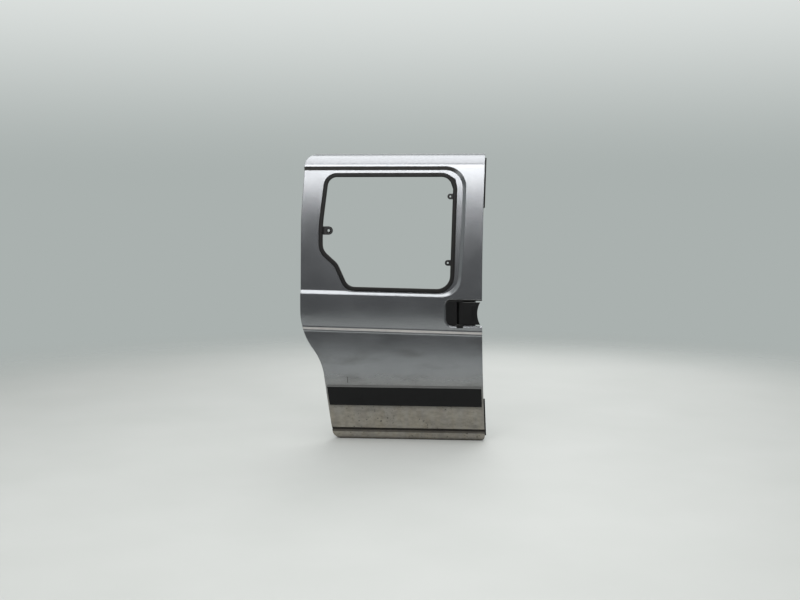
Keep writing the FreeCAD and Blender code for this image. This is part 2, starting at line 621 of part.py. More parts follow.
# Locks inside the front and rear shut faces, each with a mouth for its striker
inside_walls = prism(OUTLINE, grow=-WALL_INSET - 0.2)
front_wall = front_x(FRONT_LOCK_Z, WALL_INSET)
front_lock = box(front_wall - 42, SPAN_FRONT, -42, 4, FRONT_LOCK_Z - 45, FRONT_LOCK_Z + 45)
front_lock = front_lock.common(inside_walls)
front_mouth = box(
    front_wall - 20, SPAN_FRONT, -30, -8, FRONT_LOCK_Z - LOCK_SLOT / 2, FRONT_LOCK_Z + LOCK_SLOT / 2
)
parts["front_lock"] = front_lock.cut(front_mouth)
rear_wall = rear_x(REAR_LOCK_Z, WALL_INSET)
rear_lock = box(SPAN_REAR, rear_wall + 36, -28, -2, REAR_LOCK_Z - 38, REAR_LOCK_Z + 38).common(inside_walls)
rear_mouth = box(
    SPAN_REAR, rear_wall + 18, -22, -8, REAR_LOCK_Z - LOCK_SLOT / 2, REAR_LOCK_Z + LOCK_SLOT / 2
)
parts["rear_lock"] = rear_lock.cut(rear_mouth)
parts["inner_panel"] = panel.cut(front_mouth).cut(rear_mouth)


def locating_cone(y, z):
    """A tapered peg on the front shut face that centres the door in its opening."""
    root = Vector(front_x(z, FLANGE_WIDTH) - 1, y, z)
    peg = Part.makeCone(11.0, 6.5, 13.0, root, Vector(1, 0, 0))
    base = Part.makeCylinder(15.0, 4.0, root, Vector(1, 0, 0))
    return peg.fuse(base).cut(prism(OUTLINE, grow=-FLANGE_WIDTH + 0.05))


def rear_stop(y, z):
    """A rubber buffer on the rear shut face."""
    root = Vector(rear_x(z, FLANGE_WIDTH) + 1.5, y, z)
    stop = Part.makeCone(12.0, 8.5, 15.0, root, Vector(-1, 0, 0))
    return stop.cut(prism(OUTLINE, grow=-FLANGE_WIDTH + 0.05))


parts["locating_cone_lower"] = locating_cone(-20.0, 262.0)
parts["locating_cone_upper"] = locating_cone(plate_depth(DOOR_HEIGHT - 293) - 15, DOOR_HEIGHT - 293)
parts["rear_stop_lower"] = rear_stop(-25.0, 668.0)
parts["rear_stop_upper"] = rear_stop(plate_depth(DOOR_HEIGHT - 213) - 19, DOOR_HEIGHT - 213)

# Release unit beside the handle, and its rods to the locks
unit_x0, unit_x1, unit_z0, unit_z1 = 40.0, 150.0, 532.0, 590.0
unit = box(unit_x0, unit_x1, -24, PLATE_Y - PANEL_GAUGE - SHEET_GAP, unit_z0, unit_z1)
unit = unit.cut(box(unit_x0 + 4, unit_x1 - 4, -30, 8, unit_z0 + 4, unit_z1 - 4))
parts["release_unit"] = unit.fuse(box(unit_x0 + 20, unit_x1 - 20, -18, 9, unit_z0 + 20, unit_z0 + 38))
parts["lock_rod_front"] = rod(
    Vector(unit_x1 + 1.6, -5, unit_z0 + 16), Vector(front_wall - 34, -5, FRONT_LOCK_Z + 47.5), 2.5
)
parts["lock_rod_rear"] = rod(
    Vector(unit_x0 - 1, -12, unit_z0 + 28), Vector(rear_wall + 24, -12, REAR_LOCK_Z - 40.7), 2.5
)

# Rubber edge seals that show past the front edge at its top and bottom
edge_seal = ring(OUTLINE, -FLANGE_WIDTH + 0.05, EDGE_SEAL_PROUD)
edge_seal = edge_seal.common(slab(HEM_DEPTH + 0.3, HEM_DEPTH + 8.0))


def edge_run(z0, z1):
    """A length of the edge seal on the front edge between two heights."""
    start = min(front_x(z0, FLANGE_WIDTH), front_x(z1, FLANGE_WIDTH)) - 6
    return edge_seal.common(box(start, SPAN_FRONT + 50, FAR_OUT, FAR_IN, z0, z1))


parts["front_edge_seal_upper"] = edge_run(DOOR_HEIGHT - 243, DOOR_HEIGHT - FLANGE_WIDTH - 2)
parts["front_edge_seal_lower"] = edge_run(FLANGE_WIDTH + 4, 195.0)

os.makedirs("parts", exist_ok=True)
for name, shape in parts.items():
    shape = shape.removeSplitter()
    print(name, shape.isValid(), len(shape.Solids), len(shape.Faces), round(shape.Volume / 1000, 1))
    shape.exportStep("parts/" + name + ".step")
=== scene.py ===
import bpy
import bmesh
import json
import math
from mathutils import Matrix, Vector
from mathutils.bvhtree import BVHTree


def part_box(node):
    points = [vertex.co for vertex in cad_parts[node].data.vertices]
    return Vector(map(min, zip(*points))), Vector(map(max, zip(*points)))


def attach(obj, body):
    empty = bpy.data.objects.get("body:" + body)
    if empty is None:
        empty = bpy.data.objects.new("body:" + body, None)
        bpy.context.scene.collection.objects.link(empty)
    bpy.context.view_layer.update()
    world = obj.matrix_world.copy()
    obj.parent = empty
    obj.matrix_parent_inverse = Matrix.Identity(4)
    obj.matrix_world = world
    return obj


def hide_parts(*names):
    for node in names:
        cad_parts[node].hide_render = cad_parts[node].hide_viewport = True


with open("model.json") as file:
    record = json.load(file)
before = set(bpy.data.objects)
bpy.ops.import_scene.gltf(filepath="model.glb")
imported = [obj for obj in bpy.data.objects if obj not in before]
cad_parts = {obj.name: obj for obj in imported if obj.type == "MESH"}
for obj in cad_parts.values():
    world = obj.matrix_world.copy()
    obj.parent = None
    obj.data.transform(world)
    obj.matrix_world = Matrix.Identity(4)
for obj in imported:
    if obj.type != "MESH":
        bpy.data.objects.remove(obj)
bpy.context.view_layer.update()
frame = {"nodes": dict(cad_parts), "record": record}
scene = bpy.context.scene
scene.view_settings.view_transform = "Standard"
MM = 0.001

# Places on the door, in metres
SILL_GROOVE = (33 * MM, 47 * MM)
SCRATCH = (-274 * MM, 277 * MM)
SCRATCH_HALF_WIDTH = 1.2 * MM
SCRATCH_HALF_HEIGHT = 14 * MM
FILM_TOP = 340 * MM
FILM_FULL = 100 * MM
FLANK_TOP = 550 * MM
FLANK_FULL = 420 * MM
BELT = 516 * MM
CREASE_FALL = 0.028
WINDOW_LEAN = 0.115
PRESS_RADIUS = 3.5 * MM
FAR_INSIDE = 0.4
FAR_OUTSIDE = -0.4

# How copies of CAD meshes are merged and shaded
MERGE_DISTANCE = 0.01 * MM
FLAT_TURN = math.radians(0.5)
SHARP_TURN = math.radians(38)
BROAD_FACE_WEIGHT = 80

NOISE = "ShaderNodeTexNoise"
CELLS = "ShaderNodeTexVoronoi"
RANGE = "ShaderNodeMapRange"
MATH = "ShaderNodeMath"
MIX = "ShaderNodeMix"
SPLIT = "ShaderNodeSeparateXYZ"
MAPPING = "ShaderNodeMapping"
GEOMETRY = "ShaderNodeNewGeometry"
BUMP = "ShaderNodeBump"
SMOOTH = {"interpolation_type": "SMOOTHSTEP"}
TIMES = {"operation": "MULTIPLY"}
MOST = {"operation": "MAXIMUM"}
COLOURS = {"data_type": "RGBA"}
MIXED = 2


def linear(code):
    """An sRGB hex colour as linear RGBA."""
    parts = [int(code[i:i + 2], 16) / 255 for i in (0, 2, 4)]
    return tuple(c / 12.92 if c <= 0.04045 else ((c + 0.055) / 1.055) ** 2.4 for c in parts) + (1.0,)


def add(tree, kind, settings=None, inputs=None, out=0):
    """Adds a node with its settings, fills its inputs with values, hex colours or links, gives an output."""
    node = tree.nodes.new(kind)
    for name, value in (settings or {}).items():
        setattr(node, name, value)
    for name, value in (inputs or {}).items():
        if isinstance(value, bpy.types.NodeSocket):
            tree.links.new(value, node.inputs[name])
        else:
            node.inputs[name].default_value = linear(value) if isinstance(value, str) else value
    return node.outputs[out]


def new_finish(name):
    """A new node material: itself, its tree, its shader's sockets, and the place on the object."""
    material = bpy.data.materials.new(name)
    material.use_nodes = True
    tree = material.node_tree
    shader = tree.nodes["Principled BSDF"].inputs
    return material, tree, shader, add(tree, "ShaderNodeTexCoord", out="Object")


# Metallic silver car paint, sprayed under clear lacquer: faint flake and a soft gloss that rounds over the
# pressed folds, with a beige grime film and run marks low on the door, tar specks above the hem, dirt along
# the crease, painted shade in near-black on faces turned down under ledges (with some dirt in the drip
# groove) and in the sill groove, and faint wiped smudges and one scratch on the flank. Flake is drawn coarse
# so that it shows.
def silver_paint():
    paint, tree, shader, place = new_finish("metallic_silver_paint")
    height = add(tree, SPLIT, None, {0: place}, "Z")
    along = add(tree, SPLIT, None, {0: place}, "X")
    up = add(tree, SPLIT, None, {0: add(tree, GEOMETRY, out="Normal")}, "Z")
    flake = add(tree, NOISE, None, {"Vector": place, "Scale": 1 / (8 * MM), "Detail": 1.0})
    flake = add(tree, RANGE, SMOOTH, {0: flake, 1: 0.35, 2: 0.65})
    cloud = add(tree, NOISE, None, {"Vector": place, "Scale": 1 / (170 * MM), "Detail": 3.0})
    runs = add(tree, MAPPING, None, {"Vector": place, "Scale": (1.0, 1.0, 0.2)})
    runs = add(tree, NOISE, None, {"Vector": runs, "Scale": 1 / (30 * MM), "Detail": 4.0})
    runs = add(tree, RANGE, SMOOTH, {0: runs, 1: 0.36, 2: 0.7, 3: 0.74, 4: 0.96})
    low = add(tree, RANGE, SMOOTH, {0: height, 1: FILM_TOP, 2: FILM_FULL})
    film = add(tree, MATH, TIMES, {0: low, 1: runs})
    dust = add(tree, RANGE, SMOOTH, {0: up, 1: 0.7, 2: 0.98, 3: 0.0, 4: 0.25})
    crease = add(tree, RANGE, SMOOTH, {0: up, 1: 0.05, 2: 0.32, 3: 0.0, 4: 0.5})
    belt = add(tree, MATH, {"operation": "MULTIPLY_ADD"}, {0: along, 1: CREASE_FALL, 2: height})
    below_belt = add(tree, RANGE, SMOOTH, {0: belt, 1: BELT, 2: BELT - 8 * MM})
    crease = add(tree, MATH, TIMES, {0: crease, 1: below_belt})
    grime = add(tree, MATH, MOST, {0: film, 1: dust})
    grime = add(tree, MATH, MOST, {0: grime, 1: crease})
    mottle = add(tree, MAPPING, None, {"Vector": place, "Scale": (0.7, 1.0, 1.0)})
    mottle = add(tree, NOISE, None, {"Vector": mottle, "Scale": 1 / (16 * MM), "Detail": 5.0})
    mottle = add(tree, RANGE, SMOOTH, {0: mottle, 1: 0.32, 2: 0.7})
    mud = add(tree, MIX, COLOURS, {0: mottle, 6: "9c9688", 7: "888174"}, MIXED)
    specks = add(tree, NOISE, None, {"Vector": place, "Scale": 1 / (9 * MM), "Detail": 2.0})
    specks = add(tree, RANGE, SMOOTH, {0: specks, 1: 0.62, 2: 0.69, 3: 0.0, 4: 0.8})
    clusters = add(tree, NOISE, None, {"Vector": place, "Scale": 1 / (90 * MM), "Detail": 2.0})
    clusters = add(tree, RANGE, SMOOTH, {0: clusters, 1: 0.42, 2: 0.62, 3: 0.1, 4: 1.0})
    specks = add(tree, MATH, TIMES, {0: specks, 1: clusters})
    specks = add(tree, MATH, TIMES, {0: specks, 1: low})
    smudge = add(tree, MAPPING, None, {"Vector": place, "Rotation": (0, 0.6, 0), "Scale": (0.35, 1.0, 1.0)})
    smudge = add(tree, NOISE, None, {"Vector": smudge, "Scale": 1 / (45 * MM), "Detail": 4.0})
    smudge = add(tree, RANGE, SMOOTH, {0: smudge, 1: 0.46, 2: 0.8, 3: 0.0, 4: 0.36})
    flank = add(tree, RANGE, SMOOTH, {0: height, 1: FLANK_TOP, 2: FLANK_FULL})
    smudge = add(tree, MATH, TIMES, {0: smudge, 1: flank})
    # Painted shade, with some real dirt in the drip groove: faces turned down, under ledges and overhangs, go
    # near-black.
    shade_and_dirt_under = add(tree, RANGE, SMOOTH, {0: up, 1: -0.32, 2: -0.46, 3: 0.0, 4: 0.94})
    # Painted shade: the band of the sill groove is darkened.
    groove_shade_low = add(tree, RANGE, SMOOTH, {0: height, 1: SILL_GROOVE[0], 2: SILL_GROOVE[0] + 2 * MM})
    groove_shade_high = add(tree, RANGE, SMOOTH, {0: height, 1: SILL_GROOVE[1], 2: SILL_GROOVE[1] - 2 * MM})
    groove_shade = add(tree, MATH, TIMES, {0: groove_shade_low, 1: groove_shade_high})
    groove_shade = add(tree, MATH, TIMES, {0: groove_shade, 1: 0.75})
    # The painted shade joins the scratch and the tar specks here, and goes on into the near-black colour,
    # metallic and roughness.
    dark_marks = add(tree, MATH, MOST, {0: shade_and_dirt_under, 1: groove_shade})
    beside = add(tree, MATH, {"operation": "COMPARE"}, {0: along, 1: SCRATCH[0], 2: SCRATCH_HALF_WIDTH})
    level = add(tree, MATH, {"operation": "COMPARE"}, {0: height, 1: SCRATCH[1], 2: SCRATCH_HALF_HEIGHT})
    scratch = add(tree, MATH, TIMES, {0: beside, 1: level})
    dark_marks = add(tree, MATH, MOST, {0: dark_marks, 1: scratch})
    dark_marks = add(tree, MATH, MOST, {0: dark_marks, 1: specks})
    soil_and_shade = add(tree, MATH, MOST, {0: dark_marks, 1: grime})
    colour = add(tree, MIX, COLOURS, {0: flake, 6: "949699", 7: "989a9d"}, MIXED)
    colour = add(tree, MIX, COLOURS, {0: grime, 6: colour, 7: mud}, MIXED)
    colour = add(tree, MIX, COLOURS, {0: smudge, 6: colour, 7: "4a4742"}, MIXED)
    colour = add(tree, MIX, COLOURS, {0: dark_marks, 6: colour, 7: "221d18"}, MIXED)
    tree.links.new(colour, shader["Base Color"])
    tree.links.new(add(tree, RANGE, None, {0: soil_and_shade, 1: 0.0, 2: 0.9, 3: 0.85, 4: 0.05}), shader["Metallic"])
    rough = add(tree, RANGE, None, {0: soil_and_shade, 1: 0.0, 2: 0.8, 3: 0.2, 4: 0.62})
    patchy = add(tree, RANGE, SMOOTH, {0: cloud, 1: 0.3, 2: 0.8, 3: 0.0, 4: 0.06})
    tree.links.new(add(tree, MATH, None, {0: rough, 1: patchy}), shader["Roughness"])
    shader["Coat Weight"].default_value = 0.25
    shader["Coat Roughness"].default_value = 0.12
    peel = add(tree, NOISE, None, {"Vector": place, "Scale": 1 / (14 * MM), "Detail": 1.0})
    folds = add(tree, "ShaderNodeBevel", {"samples": 8}, {"Radius": PRESS_RADIUS})
    peel = add(tree, BUMP, None, {"Height": peel, "Distance": 0.02 * MM, "Strength": 0.05, "Normal": folds})
    tree.links.new(peel, shader["Normal"])
    return paint


# The same silver on the inner pressing, a thin coat without lacquer: even and dull, with faint drip lines,
# dust on its ledges and brown dirt gathered towards the bottom.
def inner_paint():
    paint, tree, shader, place = new_finish("thin_silver_paint")
    height = add(tree, SPLIT, None, {0: place}, "Z")
    up = add(tree, SPLIT, None, {0: add(tree, GEOMETRY, out="Normal")}, "Z")
    cloud = add(tree, NOISE, None, {"Vector": place, "Scale": 1 / (60 * MM), "Detail": 4.0})
    drips = add(tree, MAPPING, None, {"Vector": place, "Scale": (1.0, 1.0, 0.12)})
    drips = add(tree, NOISE, None, {"Vector": drips, "Scale": 1 / (16 * MM), "Detail": 3.0})
    drips = add(tree, RANGE, SMOOTH, {0: drips, 1: 0.52, 2: 0.78, 3: 0.0, 4: 0.35})
    low = add(tree, RANGE, SMOOTH, {0: height, 1: FILM_TOP, 2: 0.0, 3: 0.0, 4: 0.75})
    patches = add(tree, RANGE, SMOOTH, {0: cloud, 1: 0.35, 2: 0.65, 3: 0.25, 4: 1.0})
    dark_marks = add(tree, MATH, TIMES, {0: low, 1: patches})
    dust = add(tree, RANGE, SMOOTH, {0: up, 1: 0.4, 2: 0.95, 3: 0.0, 4: 0.6})
    grime = add(tree, MATH, MOST, {0: dark_marks, 1: dust})
    grime = add(tree, MATH, MOST, {0: grime, 1: drips})
    colour = add(tree, MIX, COLOURS, {0: cloud, 6: "a2a4a6", 7: "979998"}, MIXED)
    colour = add(tree, MIX, COLOURS, {0: grime, 6: colour, 7: "7d7767"}, MIXED)
    tree.links.new(colour, shader["Base Color"])
    tree.links.new(add(tree, RANGE, None, {0: grime, 1: 0.0, 2: 0.8, 3: 0.4, 4: 0.75}), shader["Roughness"])
    tree.links.new(add(tree, RANGE, None, {0: grime, 1: 0.0, 2: 0.8, 3: 0.7, 4: 0.1}), shader["Metallic"])
    grit = add(tree, NOISE, None, {"Vector": place, "Scale": 1 / (9 * MM), "Detail": 2.0})
    folds = add(tree, "ShaderNodeBevel", {"samples": 8}, {"Radius": PRESS_RADIUS})
    grit = add(tree, BUMP, None, {"Height": grit, "Distance": 0.03 * MM, "Strength": 0.3, "Normal": folds})
    tree.links.new(grit, shader["Normal"])
    return paint


# Moulded black polypropylene: a fine pebbled grain, and grey where it faces the sky, partly sun fade and
# partly a painted highlight on top chamfers.
def grained_plastic():
    plastic, tree, shader, place = new_finish("grained_polypropylene")
    up = add(tree, SPLIT, None, {0: add(tree, GEOMETRY, out="Normal")}, "Z")
    # Painted highlight, partly sun fade: faces turned up go grey, which lights the rub strip's top chamfer.
    fade_and_highlight = add(tree, RANGE, SMOOTH, {0: up, 1: 0.3, 2: 0.75, 3: 0.0, 4: 0.85})
    dull = add(tree, NOISE, None, {"Vector": place, "Scale": 1 / (45 * MM), "Detail": 3.0})
    dull = add(tree, RANGE, SMOOTH, {0: dull, 1: 0.4, 2: 0.75})
    colour = add(tree, MIX, COLOURS, {0: dull, 6: "050506", 7: "0a0a0b"}, MIXED)
    colour = add(tree, MIX, COLOURS, {0: fade_and_highlight, 6: colour, 7: "5f605e"}, MIXED)
    shader["Specular IOR Level"].default_value = 0.3
    tree.links.new(colour, shader["Base Color"])
    tree.links.new(add(tree, RANGE, None, {0: dull, 1: 0.0, 2: 1.0, 3: 0.5, 4: 0.66}), shader["Roughness"])
    grain = add(tree, CELLS, None, {"Vector": place, "Scale": 1 / (1.6 * MM)})
    grain = add(tree, BUMP, None, {"Height": grain, "Distance": 0.12 * MM, "Strength": 0.35})
    tree.links.new(grain, shader["Normal"])
    return plastic


# Extruded EPDM rubber: matt black with a brownish dust bloom on its crown.
def seal_rubber():
    rubber, tree, shader, place = new_finish("epdm_rubber")
    up = add(tree, SPLIT, None, {0: add(tree, GEOMETRY, out="Normal")}, "Z")
    settled = add(tree, RANGE, SMOOTH, {0: up, 1: 0.2, 2: 0.8, 3: 0.0, 4: 0.5})
    bloom = add(tree, NOISE, None, {"Vector": place, "Scale": 1 / (18 * MM), "Detail": 4.0})
    bloom = add(tree, RANGE, SMOOTH, {0: bloom, 1: 0.45, 2: 0.75, 3: 0.0, 4: 0.6})
    dust = add(tree, MATH, MOST, {0: bloom, 1: settled})
    colour = add(tree, MIX, COLOURS, {0: dust, 6: "060505", 7: "231f1b"}, MIXED)
    shader["Specular IOR Level"].default_value = 0.35
    tree.links.new(colour, shader["Base Color"])
    tree.links.new(add(tree, RANGE, None, {0: dust, 1: 0.0, 2: 0.6, 3: 0.52, 4: 0.74}), shader["Roughness"])
    skin = add(tree, NOISE, None, {"Vector": place, "Scale": 1 / (1.5 * MM), "Detail": 2.0})
    skin = add(tree, BUMP, None, {"Height": skin, "Distance": 0.05 * MM, "Strength": 0.3})
    tree.links.new(skin, shader["Normal"])
    return rubber


# Pressed steel, zinc-plated with a yellow passivate: satin and blotched, with rust starting.
def zinc_steel():
    zinc, tree, shader, place = new_finish("passivated_zinc_plate")
    blotch = add(tree, NOISE, None, {"Vector": place, "Scale": 1 / (14 * MM), "Detail": 4.0})
    blotch = add(tree, RANGE, SMOOTH, {0: blotch, 1: 0.35, 2: 0.7})
    rust = add(tree, NOISE, None, {"Vector": place, "Scale": 1 / (8 * MM), "Detail": 5.0})
    rust = add(tree, RANGE, SMOOTH, {0: rust, 1: 0.64, 2: 0.76, 3: 0.0, 4: 0.7})
    colour = add(tree, MIX, COLOURS, {0: blotch, 6: "b0aa92", 7: "9f9a84"}, MIXED)
    colour = add(tree, MIX, COLOURS, {0: rust, 6: colour, 7: "68412a"}, MIXED)
    tree.links.new(colour, shader["Base Color"])
    tree.links.new(add(tree, RANGE, None, {0: rust, 1: 0.0, 2: 1.0, 3: 1.0, 4: 0.1}), shader["Metallic"])
    tree.links.new(add(tree, RANGE, None, {0: blotch, 1: 0.0, 2: 1.0, 3: 0.34, 4: 0.55}), shader["Roughness"])
    pits = add(tree, NOISE, None, {"Vector": place, "Scale": 1 / (2.0 * MM), "Detail": 3.0})
    pits = add(tree, BUMP, None, {"Height": pits, "Distance": 0.05 * MM, "Strength": 0.25})
    tree.links.new(pits, shader["Normal"])
    return zinc


# Steel under black electro-coat: semi-matt, with grey rubbed through in patches.
def black_steel():
    steel, tree, shader, place = new_finish("black_electrocoated_steel")
    worn = add(tree, NOISE, None, {"Vector": place, "Scale": 1 / (6 * MM), "Detail": 4.0})
    worn = add(tree, RANGE, SMOOTH, {0: worn, 1: 0.58, 2: 0.72, 3: 0.0, 4: 0.6})
    colour = add(tree, MIX, COLOURS, {0: worn, 6: "0c0c0d", 7: "3a3835"}, MIXED)
    tree.links.new(colour, shader["Base Color"])
    tree.links.new(add(tree, RANGE, None, {0: worn, 1: 0.0, 2: 0.6, 3: 0.4, 4: 0.6}), shader["Roughness"])
    coat = add(tree, NOISE, None, {"Vector": place, "Scale": 1 / (1.8 * MM), "Detail": 2.0})
    coat = add(tree, BUMP, None, {"Height": coat, "Distance": 0.03 * MM, "Strength": 0.25})
    tree.links.new(coat, shader["Normal"])
    return steel


# Turned nylon: off-white and waxy, smeared with dark grease.
def nylon():
    wheel, tree, shader, place = new_finish("greased_nylon")
    grease = add(tree, NOISE, None, {"Vector": place, "Scale": 1 / (14 * MM), "Detail": 2.0})
    grease = add(tree, RANGE, SMOOTH, {0: grease, 1: 0.3, 2: 0.8})
    colour = add(tree, MIX, COLOURS, {0: grease, 6: "c2bba6", 7: "7d7461"}, MIXED)
    tree.links.new(colour, shader["Base Color"])
    tree.links.new(add(tree, RANGE, None, {0: grease, 1: 0.0, 2: 1.0, 3: 0.48, 4: 0.22}), shader["Roughness"])
    smear = add(tree, BUMP, None, {"Height": grease, "Distance": 0.1 * MM, "Strength": 0.3})
    tree.links.new(smear, shader["Normal"])
    return wheel


finishes = {
    "silver_paint": silver_paint(),
    "black_plastic": grained_plastic(),
    "black_rubber": seal_rubber(),
    "zinc_steel": zinc_steel(),
    "black_steel": black_steel(),
    "roller_plastic": nylon(),
}
inside_paint = inner_paint()
inner_nodes = {"inner_panel", "waist_rail", "crash_beam", "beam_bracket_rear", "beam_bracket_front"}
slots = {row["node"]: row["material_slot"] for row in frame["record"]["subparts"]}
for name, node in frame["nodes"].items():
    node.data.materials.clear()
    node.data.materials.append(inside_paint if name in inner_nodes else finishes[slots[name]])


def piece(name, bm, finish, body="door"):
    """A finished piece from a bmesh, riding on a body, smooth but for its sharp edges."""
    for face in bm.faces:
        face.smooth = True
        face.material_index = 0
    mesh = bpy.data.meshes.new(name)
    bm.to_mesh(mesh)
    bm.free()
    mesh.set_sharp_from_angle(angle=SHARP_TURN)
    mesh.materials.append(finish)
    made = bpy.data.objects.new(name, mesh)
    scene.collection.objects.link(made)
    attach(made, body)
    return made


def copied(node):
    """A merged copy of a CAD node's mesh, its flat triangles joined to whole faces."""
    bm = bmesh.new()
    bm.from_mesh(frame["nodes"][node].data)
    bmesh.ops.remove_doubles(bm, verts=bm.verts, dist=MERGE_DISTANCE)
    bmesh.ops.dissolve_limit(bm, angle_limit=FLAT_TURN, verts=bm.verts, edges=bm.edges)
    return bm


def standing_for(node, bm, body="door"):
    """The shape as the piece that stands for a CAD node, its broad faces shaded flat."""
    finish = inside_paint if node in inner_nodes else finishes[slots[node]]
    made = piece(node + "_rounded", bm, finish, body)
    even = made.modifiers.new("even_shading", "WEIGHTED_NORMAL")
    even.keep_sharp = True
    even.weight = BROAD_FACE_WEIGHT
    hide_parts(node)
    return made


def softened(node, width, least_turn, body="door"):
    """A CAD node with the edges that turn more than least_turn degrees rounded over by width mm."""
    bm = copied(node)
    turn = math.radians(least_turn)
    edges = [e for e in bm.edges if len(e.link_faces) == 2 and e.calc_face_angle() > turn]
    bmesh.ops.bevel(
        bm, geom=edges, offset=width * MM, offset_type="OFFSET", segments=2, profile=0.5,
        affect="EDGES", clamp_overlap=True, material=-1)
    return standing_for(node, bm, body)


softened("window_seal", 1.6, 35)
softened("rub_strip", 0.9, 30)
softened("handle_housing", 1.0, 40)
softened("handle_flap", 1.2, 40, "handle")
for node in (
        "lower_arm_bracket", "lower_arm", "upper_arm_bracket", "upper_arm", "centre_arm_bracket",
        "centre_arm", "front_lock", "rear_lock", "beam_bracket_rear", "beam_bracket_front",
        "glass_hinge_upper", "glass_hinge_lower", "glass_catch", "front_edge_seal_upper",
        "front_edge_seal_lower"):
    softened(node, 0.7, 40)


def turned(profile, steps=24):
    """A solid of revolution about +Z from (radius, height) points in mm."""
    bm = bmesh.new()
    ring = [bm.verts.new((radius * MM, 0, height * MM)) for radius, height in profile]
    for a, b in zip(ring, ring[1:]):
        bm.edges.new((a, b))
    bmesh.ops.spin(
        bm, geom=bm.verts[:] + bm.edges[:], cent=(0, 0, 0), axis=(0, 0, 1), dvec=(0, 0, 0),
        angle=2 * math.pi, steps=steps, use_merge=True)
    bmesh.ops.remove_doubles(bm, verts=bm.verts, dist=0.001 * MM)
    bmesh.ops.recalc_face_normals(bm, faces=bm.faces)
    return bm


def stood(bm, place, axis):
    """The shape moved so that its +Z points along axis from place."""
    turn = Vector(axis).to_track_quat("Z", "Y").to_matrix().to_4x4()
    bmesh.ops.transform(bm, matrix=Matrix.Translation(place) @ turn, verts=bm.verts)
    return bm


def joined(shapes):
    """Several shapes as one."""
    whole = bmesh.new()
    for shape in shapes:
        part = bpy.data.meshes.new("part")
        shape.to_mesh(part)
        shape.free()
        whole.from_mesh(part)
        bpy.data.meshes.remove(part)
    return whole


panel = copied("inner_panel")
panel_surface = BVHTree.FromBMesh(panel)
INTO_PANEL = Vector((0, -1, 0))


def probe(x, z):
    """The point and the slope of the panel's inside face at x, z; no point where the panel is open."""
    hit, slope, _, _ = panel_surface.ray_cast(Vector((x, FAR_INSIDE, z)), INTO_PANEL)
    return hit, slope


def edges_at(z):
    """The rear and front ends of the panel at height z."""
    bm = panel.copy()
    cut = bmesh.ops.bisect_plane(
        bm, geom=bm.verts[:] + bm.edges[:] + bm.faces[:], plane_co=(0, 0, z), plane_no=(0, 0, 1), dist=0.0)
    xs = [v.co.x for v in cut["geom_cut"] if isinstance(v, bmesh.types.BMVert)]
    bm.free()
    return min(xs), max(xs)


def hole_beside(x, z, step):
    """The middle of the first small hole met from x at height z, going by step, and the slope beside it."""
    slope = Vector((0, 1, 0))
    depth = 0.0
    open_xs = []
    for i in range(100):
        hit, face = probe(x + i * step, z)
        if hit is None:
            open_xs.append(x + i * step)
        elif open_xs:
            break
        else:
            slope, depth = face, hit.y
    return Vector((sum(open_xs) / len(open_xs), depth, z)), slope


# Rubber blanking plugs in the round holes of the inner panel
PLUG_HOLES = [(-95, 545, 20), (-170, 545, 12), (10, 70, 13), (-120, 70, 13), (110, 100, 20)]
plugs = []
for x, z, radius in PLUG_HOLES:
    rim, slope = probe((x + radius + 3) * MM, z * MM)
    plug = turned([
        (0, 0.4), (radius * 0.6, 0.5), (radius * 0.78, 1.0), (radius * 0.85, 2.6), (radius + 1.5, 3.0),
        (radius + 3.5, 2.2), (radius + 4.2, 0.8), (radius + 4.2, 0.05), (radius - 0.3, 0.0),
        (radius - 0.3, -2.0), (radius - 1.2, -4.0), (radius * 0.6, -3.0), (0, -2.8)])
    plugs.append(stood(plug, Vector((x * MM, rim.y, z * MM)), slope))
piece("blanking_plugs", joined(plugs), finishes["black_rubber"])

# Push-in trim clips left in the clip holes after the trim card came off
CLIP_PROFILE = [
    (0, 6.4), (2.8, 6.2), (3.8, 5.6), (3.8, 4.8), (2.2, 4.4), (2.2, 2.9), (7.0, 2.4), (8.4, 1.4), (8.6, 0.1),
    (4.2, 0.0), (4.2, -3.0), (3.2, -5.0), (4.3, -7.0), (2.0, -11.0), (0, -11.5)]
REAR_CLIPS = (300, 480, 690, 1130)
FRONT_CLIPS = (200, 340, 690, 850, 1000, 1130)
CLIP_INSET = 18 * MM
SEARCH_STEP = 0.5 * MM
clips = []
for heights, end, inward in [(REAR_CLIPS, 0, 1), (FRONT_CLIPS, 1, -1)]:
    for height in heights:
        start = edges_at(height * MM)[end] + inward * CLIP_INSET
        seat = hole_beside(start, height * MM, inward * SEARCH_STEP)
        clips.append(stood(turned(CLIP_PROFILE, 16), *seat))
piece("trim_clips", joined(clips), finishes["black_plastic"])

# Spot welds along the panel's flange: shallow pits with a raised rim
WELD_PROFILE = [(0, 0.1), (1.9, 0.14), (2.5, 0.45), (3.2, 0.45), (3.8, 0.2), (4.2, -0.2), (0, -0.2)]
WELD_HEIGHTS = range(70, 1240, 45)
WELD_INSET = 9 * MM
STEEPEST_SEAT = 0.4
welds = []
for height in WELD_HEIGHTS:
    rear, front = edges_at(height * MM)
    for x in (rear + WELD_INSET, front - WELD_INSET):
        seat, slope = probe(x, height * MM)
        if seat is not None and abs(slope.x) < STEEPEST_SEAT:
            welds.append(stood(turned(WELD_PROFILE, 12), seat, slope))
piece("flange_spot_welds", joined(welds), inside_paint)

# Rubber bushes round the glass bolt holes, on both faces of each tab
BUSH_SINK = 0.4
bushes = []
for mount in frame["record"]["mounts"]:
    if mount["kind"] == "bore":
        radius = mount["dims"]["r_mm"]
        half = mount["dims"]["length_mm"] / 2
        for side in (1, -1):
            axis = Vector(mount["axis"]) * side
            bush = turned([
                (radius, 0), (radius, 1.8), (radius + 0.8, 2.4), (radius + 3.0, 2.0), (radius + 3.8, 0.9),
                (radius + 3.8, 0), (radius, 0)], 20)
            bushes.append(stood(bush, Vector(mount["pos_m"]) + axis * (half - BUSH_SINK) * MM, axis))
piece("glass_bolt_bushes", joined(bushes), finishes["black_rubber"])

